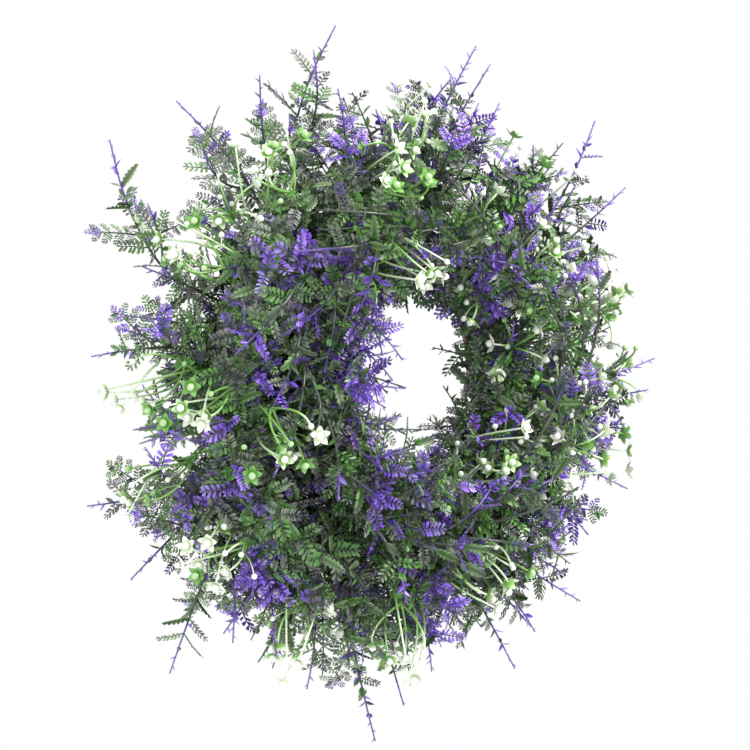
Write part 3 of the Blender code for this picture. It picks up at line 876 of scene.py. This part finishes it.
def coat_of(violet, draw):
    """How far one leaf is sprayed, at its root and its tip: green, grey, dusky or violet."""
    chance = draw.random() - violet
    if chance < 0:
        level = draw.uniform(*VIOLET_COAT)
        return level - 0.16, level + 0.16
    if chance < DUSKY_SHARE:
        level = draw.uniform(*DUSKY_COAT)
    else:
        level = draw.uniform(*(GREY_COAT if chance < DUSKY_SHARE + GREY_SHARE else GREEN_COAT))
    return level - 0.06, level + 0.12


def dress(moulding, path, radii, start, spacing, violet_end, draw, bare=BARE_END, sides=5):
    """A twig of a pick, with all that the moulding has along it.

    start is where its leaves begin, as a share of its length, spacing how far apart their
    pairs stand, violet_end how far down from its tip it is sprayed violet, bare how long
    its end with needles alone is.
    """
    length = sum(span_lengths(path))
    tip_coat = 0.84 if violet_end > 0.007 else 0.45
    tint = draw.uniform(0.0, 0.35)
    turns = (1 - 1.5 * violet_end / length - 0.02, 1 - 0.7 * violet_end / length)
    moulding.tube(path, *radii, sides, (0.36, tip_coat, *turns), tint)
    distance, turn = length * start, draw.uniform(0, 360)
    while distance < length - TIP_GAP:
        point, way = along_path(path, distance)
        left = length - distance
        turn += draw.uniform(75, 105)
        if left < bare:
            out = side_of(way, 2 * turn)
            size = draw.uniform(*NEEDLE_SIZES) * (0.6 + 0.4 * left / bare)
            aim = (way * 0.9 + out).normalized()
            moulding.lay(NEEDLE, point, aim, way, size, (tip_coat - 0.04, tip_coat + 0.1), tint)
            distance += draw.uniform(0.0042, 0.0062)
            continue
        for half_turn in (0, draw.uniform(160, 200)):
            out = side_of(way, turn + half_turn)
            aim = (way * draw.uniform(0.45, 1.0) + out).normalized()
            face = Matrix.Rotation(draw.uniform(-0.9, 0.9), 3, aim) @ (way - out * 0.3)
            kind = draw.random()
            coat = coat_of(min(0.92, max(0.025, 2.4 - 1.85 * left / violet_end)), draw)
            if left < 1.5 * bare:
                size, shape = draw.uniform(*END_LEAF_SIZES), POINTED
            elif kind < 0.30:
                size, shape = draw.uniform(*POINTED_SIZES), POINTED
            elif kind < 0.85 or coat[0] > 0.5:
                size, shape = draw.uniform(*COMB_SIZES), draw.choice(COMBS)
            else:
                size, shape = draw.uniform(*SCALLOPED_SIZES), draw.choice(SCALLOPED)
                coat = (draw.uniform(0.05, 0.25), draw.uniform(0.15, 0.35))
            if kept_clear(point + aim * size):
                moulding.lay(shape, point, aim, face, size, coat, draw.random())
        distance += spacing * draw.uniform(0.75, 1.3) * (0.6 if left < violet_end else 1)


def dress_frond(moulding, leaf, violet, draw):
    """A side twig where the frond of a pick is: combs both ways and one at its end.

    violet is how likely one of its leaves is to be violet.
    """
    _, point, aim, face, length, wide, pairs = leaf
    side = aim.cross(face).normalized()
    face = face.normalized()

    def at(along):
        return point + aim * along - face * length * 0.12 * (along / length) ** 2

    path = [at(length * 0.72 * n / 4) for n in range(5)]
    moulding.tube(path, 0.0007, 0.0004, 4, (0.40, 0.5, 0.5, 1), draw.random())
    for middle, above, reach in leaflet_spots(length, wide, pairs):
        for way in (1, -1):
            lean = (side * way + aim * 0.55).normalized()
            up = (face + side * draw.uniform(-0.5, 0.5)).normalized()
            shape, coat = draw.choice(COMBS), coat_of(violet, draw)
            moulding.lay(shape, at(middle), lean, up, reach * 1.16, coat, draw.random())
        lean = (side * draw.choice((1, -1)) + aim * 0.7 + face * 0.6).normalized()
        moulding.lay(POINTED, at(above), lean, face, draw.uniform(0.005, 0.0075),
                     coat_of(violet, draw), draw.random())
    moulding.lay(draw.choice(COMBS), at(length * 0.66), aim, face, length * 0.34,
                 coat_of(violet + 0.1, draw), draw.random())


def dress_leaves(moulding, stem, draw):
    """The single leaves, needles and side twigs of a pick's stem."""
    for leaf in stem.leaves:
        kind, point, aim, face, length, _, _ = leaf
        violet = 0.04 + 0.5 * violet_at(point + aim * length) ** 2
        if kind == "frond":
            dress_frond(moulding, leaf, violet, draw)
        elif kind == "lobed":
            moulding.lay(SCALLOPED[0], point, aim, face, length, (0.1, 0.34), draw.random())
        elif kind == "teardrop":
            moulding.lay(POINTED, point, aim, face, length, coat_of(violet + 0.3, draw), draw.random())
        else:
            moulding.lay(NEEDLE, point, aim, face, length, (0.7, 0.9), draw.random())


def coated_plastic(name, mist, steps, pebble, roughness):
    """A moulded plastic under a misted coat, whose amount is the paint's first value.

    mist is the noise of the coat, steps its colours from bare to thick and pebble how deep
    the skin is. It gives the material, its main shader, the paint's values and the coat.
    """
    material, surface = new_material(name)
    paint = add_node(material, "VertexColor", layer_name="paint")
    parts = add_node(material, "SeparateColor", {"Color": paint.outputs["Color"]})
    where = add_node(material, "TexCoord")
    mist = add_node(material, "TexNoise", {"Vector": where.outputs["Object"], "Detail": 3, **mist})
    misted = add_node(material, "Math", {0: mist.outputs[0], 1: 0.30, 2: parts.outputs[0]},
                      operation="MULTIPLY_ADD")
    coat = add_node(material, "ValToRGB", {"Fac": misted.outputs[0]})
    colour_steps(coat, steps)
    skin = add_node(material, "Bump", {"Height": mist.outputs[0], "Strength": pebble, "Distance": 0.0004})
    set_inputs(surface, {"Normal": skin.outputs[0], "Roughness": roughness, "IOR": 1.51})
    return material, surface, parts, coat


# Sprayed polythene: soft moulded plastic, green in itself, with a grey coat and then a
# violet one misted on from the tip down; a low even sheen, and a painted highlight towards
# each leaf's raised edges, with painted shade along its rib and on the stems
sprayed, surface, parts, coat = coated_plastic(
    "sprayed green polythene", {"Scale": 420, "Roughness": 0.6},
    [(0.20, "#609C42"), (0.36, "#7A9868"), (0.47, "#868A84"), (0.60, "#5A5462"), (0.73, "#7C50E0"),
     (0.87, "#9866FF"), (1.0, "#B490FF")], 0.25, 0.35)
shades = add_node(sprayed, "ValToRGB", {"Fac": parts.outputs[1]})
colour_steps(shades, [(0.0, "#7E8F82"), (0.3, "#C8D2C8"), (0.6, "#FFFFFF"), (0.85, "#D8E8BC"),
                      (1.0, "#9AA0A4")])
tinted = add_node(sprayed, "Mix", {"Factor": 0.62, "A": coat.outputs[0], "B": shades.outputs[0]},
                  data_type="RGBA", blend_type="MULTIPLY")
# Painted light: colour lightened towards each leaf's raised edges as a painted highlight, and darkened
# along its rib and on the stems as painted shade
edges = add_node(sprayed, "ValToRGB", {"Fac": parts.outputs[2]})
colour_steps(edges, [(0.0, "#9CA29C"), (0.4, "#DCE0DA"), (0.8, "#FFFFFF")])
rim_lit = add_node(sprayed, "Mix", {"Factor": 1.0, "A": tinted.outputs["Result"], "B": edges.outputs[0]},
                data_type="RGBA", blend_type="MULTIPLY")
set_inputs(surface, {"Base Color": rim_lit.outputs["Result"]})

draw = random.Random(5)
for name, stem, fork in picks:
    moulding = Moulding()
    for twig, radii in ((stem, (STEM_RADIUS, TIP_RADIUS)), (fork, (FORK_RADIUS, TIP_RADIUS))):
        if twig is None:
            continue
        violet_end = draw.choice((0.010, 0.018, 0.024, 0.032)) + 0.020 * violet_at(twig.path[-1])
        dress(moulding, smooth_path(twig.path, 3), radii, 0.30, 0.0078, violet_end, draw)
        dress_leaves(moulding, twig, draw)
    moulding.build(f"lavender_pick_{name}", sprayed, "lavender_plastic", f"lavender_{name}")
for name, stem in shoots:
    moulding = Moulding()
    violet_end = 0.003 + 0.030 * violet_at(stem.path[-1]) ** 2
    path = smooth_path(stem.path, 3)
    dress(moulding, path, (STEM_RADIUS, TIP_RADIUS), 0.22, 0.0052, violet_end, draw, 0.010)
    dress_leaves(moulding, stem, draw)
    moulding.build(f"leafy_pick_{name}", sprayed, "lavender_plastic", f"leafy_{name}")

# The short leafy picks between the named ones, too many to be single solids: the same
# sprayed mouldings, pushed in all over the hoop until they hide it. Each short one ends
# somewhere in the body's section, a rounded box that is deeper and leans forward at the
# left. Longer ones arch over the face and a few stand out of the edge.
#
# The hoop is taken in sectors from three o'clock, because the body isn't round: EDGES is
# how much further out than the mean each sector's edge lies, in millimetres, and
# OUTER_TWIGS how many twigs stand out of it.
SECTORS = 16
SECTOR_DEGREES = 360 / SECTORS
PICKS_IN_SECTOR = 38
LONG_IN_SECTOR = 3
EDGES = (-4, -4, 2, 2, -10, -16, -16, -11, 8, 2, 20, -6, -8, -6, -24, -6)
OUTER_TWIGS = (2, 3, 3, 4, 1, 1, 1, 2, 4, 3, 8, 2, 2, 2, 1, 2)
BODY_REACH = 110
BODY_FORWARD = 46
BOXINESS = 0.55
GOLDEN_SHARE = 0.618
FOOT_FORWARD = 20
DEEP_FOOT = 22


def hoop_foot(clock, forward=FOOT_FORWARD):
    """Where a pick's foot stands in the hoop."""
    return place(clock, HOOP_RADIUS * 1000, forward)


def boxed(value):
    """A sine or cosine pushed outwards, which turns an oval to a rounded box."""
    return copysign(abs(value) ** BOXINESS, value)


draw = random.Random(23)
for sector in range(SECTORS):
    moulding = Moulding()
    middle = radians(SECTOR_DEGREES * (sector + 0.5))
    thinner = 20 * max(0.0, cos(middle)), 7 * max(0.0, sin(middle))
    count = round(PICKS_IN_SECTOR - thinner[0] - thinner[1])
    for n in range(count):
        clock = SECTOR_DEGREES * (sector + (n + draw.random()) / count)
        angle = radians(clock)
        left = max(0.0, -cos(angle))
        turn = radians(-38 + 226 * ((n * GOLDEN_SHARE + draw.random() * 0.2) % 1))
        half_width = 65 - 15 * left + 10 * abs(sin(angle)) + EDGES[sector]
        if cos(turn) < 0:
            half_width = 68 + 12 * left
        depth = 58 + 26 * left
        reach = BODY_REACH + half_width * boxed(cos(turn)) * draw.uniform(0.78, 1.0)
        forward = BODY_FORWARD + depth * boxed(sin(turn)) * draw.uniform(0.8, 1.0)
        sweep = draw.uniform(-6, 32) * BODY_REACH / max(reach, 70)
        tip = place(clock + sweep, max(reach, 48), max(forward, 14))
        foot = hoop_foot(clock)
        path = bend(foot, foot.lerp(tip, 0.4) + FRONT * draw.uniform(0.0, 0.03), tip, 8)
        violet_end = 0.002
        if draw.random() < 0.12 + 0.60 * violet_at(tip) ** 2:
            violet_end = 0.014 + 0.026 * violet_at(tip)
        dress(moulding, path, (0.0010, 0.0004), 0.22, 0.0068, violet_end, draw, 0.006, 4)
    for n in range(LONG_IN_SECTOR):
        clock = SECTOR_DEGREES * (sector + (n + draw.random()) / LONG_IN_SECTOR)
        lean = 14 * max(0.0, -cos(radians(clock + 30)))
        knee = place(clock + 14, draw.uniform(85, 125), 148 + lean)
        sweep = draw.uniform(36, 62)
        tip = place(clock + sweep, draw.uniform(70, 150), draw.uniform(98, 112) + lean)
        violet_end = draw.choice((0.003, 0.020, 0.030))
        path = bend(hoop_foot(clock, DEEP_FOOT), knee, tip, 12)
        dress(moulding, path, (0.0015, 0.0007), 0.4, 0.0090, violet_end, draw, 0.009)
    for n in range(OUTER_TWIGS[sector]):
        clock = SECTOR_DEGREES * (sector + (n + draw.random()) / OUTER_TWIGS[sector])
        foot = hoop_foot(clock)
        reach = draw.uniform(170, 200) + 0.5 * EDGES[sector]
        tip = place(clock + draw.uniform(-8, 16), reach, draw.uniform(26, 88))
        path = bend(foot, foot.lerp(tip, 0.5) + FRONT * draw.uniform(0.0, 0.035), tip, 10)
        violet_end = draw.choice((0.004, 0.018, 0.030))
        dress(moulding, path, (0.0011, 0.0005), 0.40, 0.0082, violet_end, draw, 0.014)
    moulding.build(f"leafy_fill_{sector + 1}", sprayed, "lavender_plastic")

# Thin violet-ended picks of the same moulding, pushed in at the hoop's face, that lean
# over the hole's edge from the front, at its left side and below
VEIL_PICKS = 24
VEIL_START = 132
VEIL_ARC = 136
draw = random.Random(37)
moulding = Moulding()
for n in range(VEIL_PICKS):
    clock = VEIL_START + VEIL_ARC * (n + draw.random()) / VEIL_PICKS
    knee = place(clock, draw.uniform(84, 100), draw.uniform(128, 146))
    tip = place(clock + draw.uniform(0, 34), draw.uniform(36, 62), draw.uniform(124, 158))
    path = bend(hoop_foot(clock, DEEP_FOOT), knee, tip, 10)
    violet_end = draw.choice((0.003, 0.004, 0.024, 0.034))
    dress(moulding, path, (0.0011, 0.0005), 0.35, 0.0082, violet_end, draw, 0.012)
moulding.build("leafy_veil", sprayed, "lavender_plastic")

# The bud sprays: soft yellow-green polythene mouldings whose stem parts into arching
# stalks. Each stalk ends in a ball bud in a cup of five pointed sepals. Most buds, and the
# stalks near them, are dipped in white; some are left green.
BALL_RINGS = 7
BALL_SIDES = 12
BALL_POINT = 0.18


def ball():
    """A ball bud on its stalk, with a small point at its top."""
    points, faces = [(0, 0, 0)], []
    for k in range(1, BALL_RINGS):
        turn = pi * k / BALL_RINGS
        for n in range(BALL_SIDES):
            a = 2 * pi * n / BALL_SIDES
            out = sin(turn)
            points.append((out * cos(a), 1 - cos(turn), out * sin(a)))
    points.append((0, 2 + BALL_POINT, 0))
    for n in range(BALL_SIDES):
        m = (n + 1) % BALL_SIDES
        faces.append((0, 1 + n, 1 + m))
        for k in range(BALL_RINGS - 2):
            a, b = 1 + k * BALL_SIDES + n, 1 + k * BALL_SIDES + m
            faces += [(a, a + BALL_SIDES, b), (b, a + BALL_SIDES, b + BALL_SIDES)]
        a = 1 + (BALL_RINGS - 2) * BALL_SIDES
        faces.append((a + n, len(points) - 1, a + m))
    return np.array(points) * 0.5, np.array(faces)


def cup():
    """Five pointed sepals that open outwards from a shallow cup."""
    points, faces = [(0, -0.12, 0)], []
    rows = ((0.30, 0.0, 0.27), (0.58, 0.12, 0.36), (0.84, 0.28, 0.23), (1.10, 0.42, 0.0))
    for n in range(5):
        a = 2 * pi * n / 5
        base = len(points)
        out = np.array([cos(a), 0, sin(a)])
        side = np.array([-sin(a), 0, cos(a)])
        for radius, height, half in rows:
            middle = out * radius + np.array([0, height, 0])
            points += [middle - side * half, middle - np.array([0, 0.05, 0]), middle + side * half]
        faces += [(0, base, base + 1), (0, base + 1, base + 2)]
        for k in range(3):
            c = base + 3 * k
            faces += [(c, c + 3, c + 4), (c, c + 4, c + 1)]
            faces += [(c + 1, c + 4, c + 5), (c + 1, c + 5, c + 2)]
    return np.array(points, float), np.array(faces)


BALL = ball()
CUP = cup()

# Dipped polythene: the same soft plastic under a thin white dip, waxy, a little
# translucent at the sepals' edges and green where the dip ends
dipped, surface, parts, dip = coated_plastic(
    "bud polythene dipped in white", {"Scale": 300},
    [(0.15, "#56843A"), (0.45, "#7EAC58"), (0.70, "#B8D2A2"), (0.95, "#DCDED5")], 0.15, 0.34)
leafier = add_node(dipped, "Mix", {"Factor": parts.outputs[1], "A": dip.outputs[0],
                                   "B": linear("#5E9A4C")}, data_type="RGBA")
set_inputs(surface, {"Base Color": leafier.outputs["Result"], "Subsurface Weight": 0.15,
                     "Subsurface Radius": (0.002, 0.003, 0.0015)})


def end_bud(moulding, path, star, turn, white):
    """The bud at the end of a stalk's path, in its cup of sepals where it has one."""
    end = path[-1]
    way = (end - path[-2]).normalized()
    side = side_of(way, turn)
    leafy = 0.0 if white else 0.35
    if star:
        coat = (0.6 if turn > 36 else 0.2, 1.7) if white else (0.1, 0.9)
        moulding.lay(CUP, end, way, side, STAR_RADIUS, coat, leafy)
    coat = (0.75, 1.2) if white else (0.2, 0.6)
    size = BUD_RADIUS * 1.56 if star else SMALL_BUD_RADIUS * 2.1
    moulding.lay(BALL, end - way * 0.0003, way, side, size, coat, leafy)


def small_buds(moulding, path, draw, white, count):
    """Short side stalks with bare buds along a longer stalk."""
    for _ in range(count):
        point, way = at_share(path, draw.uniform(0.1, 0.6))
        out = side_of(way, draw.uniform(0, 360))
        reach = draw.uniform(0.008, 0.018)
        end = point + (way * 0.9 + out * 0.8).normalized() * reach
        if not kept_clear(end):
            continue
        short = bend(point, point + out * reach * 0.4 + way * reach * 0.2, end, 4)
        moulding.tube(short, 0.0005, 0.0004, 4, (0.15, 0.8 if white else 0.2, 0.2, 1), 0.0)
        end_bud(moulding, short, False, 0, white)


def stalk_with_bud(moulding, path, star, turn, draw):
    """A bud's stalk, white only near its bud, and the small buds that leave it."""
    white = draw.random() > 0.2
    dip = (0.12, 0.78 if white else 0.2, 0.35, 1)
    moulding.tube(path, STALK_RADIUS * 0.95, TWIG_RADIUS, 6, dip, 0.0)
    end_bud(moulding, path, star, turn, white)
    small_buds(moulding, path, draw, white, draw.choice((0, 0, 1)))


def crown_leaves(moulding, path, draw):
    """Small fresh green leaves in pairs below a spray's crown."""
    for share in (0.55, 0.75, 0.92):
        point, way = at_share(path, share)
        turn = draw.uniform(0, 360)
        for half_turn in (0, 180):
            aim = (way * draw.uniform(0.5, 1.1) + side_of(way, turn + half_turn)).normalized()
            size = draw.uniform(0.007, 0.011)
            if kept_clear(point + aim * size):
                moulding.lay(POINTED, point, aim, way, size, (0.0, 0.25), 1.0)


EXTRA_STALKS = 3
draw = random.Random(77)
plans = {name: rest for name, *rest in SPRAYS}
for name, stem in sprays:
    moulding = Moulding()
    path = smooth_path(stem.path, 3)
    moulding.tube(path, STEM_RADIUS, STALK_RADIUS * 0.7, 6, (0.0, 0.12, 0.2, 1), 0.0)
    crown_leaves(moulding, path, draw)
    for stalk in stem.stalks:
        path = smooth_path(stalk.path, 4)
        stalk_with_bud(moulding, path, stalk.ends_in == "star", stalk.turn, draw)
    crown, (middle, spread) = stem.path[-1], plans[name][1:]
    heading = (place(*middle) - crown).normalized()
    for n in range(EXTRA_STALKS):
        out = side_of(heading, 120 * n + draw.uniform(-40, 40))
        end = place(*middle) + out * spread * draw.uniform(0.0003, 0.0009)
        end -= heading * draw.uniform(0.002, 0.016)
        knee = crown.lerp(end, 0.55) + out * (end - crown).length * draw.uniform(0.2, 0.5)
        if kept_clear(end + heading * 0.006):
            stalk_with_bud(moulding, bend(crown, knee, end, 10), n != 2, draw.uniform(0, 72), draw)
    moulding.build(f"bud_pick_{name}", dipped, "bud_spray_plastic", f"bud_spray_{name}")

# A few more bud sprays, short and low among the leaves, in two groups
FILL_SPRAYS = 20
draw = random.Random(31)
for group in range(2):
    moulding = Moulding()
    for n in range(group, FILL_SPRAYS, 2):
        clock = 360 * (n + draw.uniform(0.1, 0.9)) / FILL_SPRAYS
        clock -= 34 * sin(radians(clock))
        turn = radians(draw.uniform(0, 150))
        crown = place(clock, 112 + 42 * cos(turn), 48 + 44 * sin(turn))
        foot = hoop_foot(clock + draw.uniform(-15, 15))
        path = bend(foot, foot.lerp(crown, 0.5) + FRONT * 0.01, crown, 8)
        moulding.tube(path, STEM_RADIUS, STALK_RADIUS, 6, (0.0, 0.1, 0.2, 1), 0.0)
        crown_leaves(moulding, path, draw)
        heading = (crown - foot).normalized()
        for k in range(5):
            out = side_of(heading, 72 * k + draw.uniform(-25, 25))
            length = draw.uniform(0.020, 0.036)
            end = crown + (heading * draw.uniform(0.3, 0.9) + out * 0.6).normalized() * length
            if kept_clear(end + heading * 0.006):
                knee = crown + (heading * 1.5 + out * draw.uniform(0.2, 0.7)) * length * 0.5
                stalk_with_bud(moulding, bend(crown, knee, end, 8), k != 4, draw.uniform(0, 72), draw)
    moulding.build(f"bud_fill_{group + 1}", dipped, "bud_spray_plastic")

# The studio: a pale floor well below, a large soft light from the upper right and a weaker
# one from the left, in a white room. The camera stands to the left.
CAMERA_TARGET = Vector((-0.014, -0.060, -0.084))
CAMERA_DISTANCE = 3.0
CAMERA_AZIMUTH = radians(30)

# Studio paper: matt and nearly even, so that it throws soft light and shows no shine
paper, surface = new_material("white studio paper")
fibres = add_node(paper, "TexNoise", {"Scale": 60, "Detail": 2})
shade = add_node(paper, "ValToRGB", {"Fac": fibres.outputs[0]})
colour_steps(shade, [(0.0, "#F6F6F6"), (1.0, "#FDFDFD")])
set_inputs(surface, {"Base Color": shade.outputs[0], "Roughness": 0.9})
FLOOR_REACH = 6
FLOOR_DROP = 1.5
mesh = bpy.data.meshes.new("floor")
corners = ((-1, -1), (1, -1), (1, 1), (-1, 1))
corners = [(x * FLOOR_REACH, y * FLOOR_REACH, -FLOOR_DROP) for x, y in corners]
mesh.from_pydata(corners, [], [(0, 1, 2, 3)])
mesh.materials.append(paper)
add_object("floor", mesh)


def area_light(name, place_at, size, watts, colour):
    light = bpy.data.lights.new(name, "AREA")
    light.size = size
    light.energy = watts
    light.color = colour
    lamp = add_object(name, light)
    lamp.location = place_at
    lamp.rotation_euler = (CAMERA_TARGET - Vector(place_at)).to_track_quat("-Z", "Y").to_euler()


area_light("key", (0.9, -1.3, 1.1), 0.5, 55, (1, 0.98, 0.95))
area_light("fill", (-1.6, -1.1, 0.1), 1.4, 19, (0.97, 0.98, 1))
area_light("wash", (0.0, 1.6, 2.6), 2.5, 60, (1, 1, 1))

world = bpy.data.worlds.new("studio")
bpy.context.scene.world = world
world.use_nodes = True
set_inputs(world.node_tree.nodes["Background"], {"Color": (1, 1, 1, 1), "Strength": 1.0})

lens = bpy.data.cameras.new("camera")
lens.lens = 225
lens.sensor_width = 36
camera = add_object("camera", lens)
heading = Vector((sin(CAMERA_AZIMUTH), cos(CAMERA_AZIMUTH), 0))
camera.location = CAMERA_TARGET - heading * CAMERA_DISTANCE
camera.rotation_euler = heading.to_track_quat("-Z", "Y").to_euler()
bpy.context.scene.camera = camera
bpy.context.scene.view_settings.view_transform = "Standard"
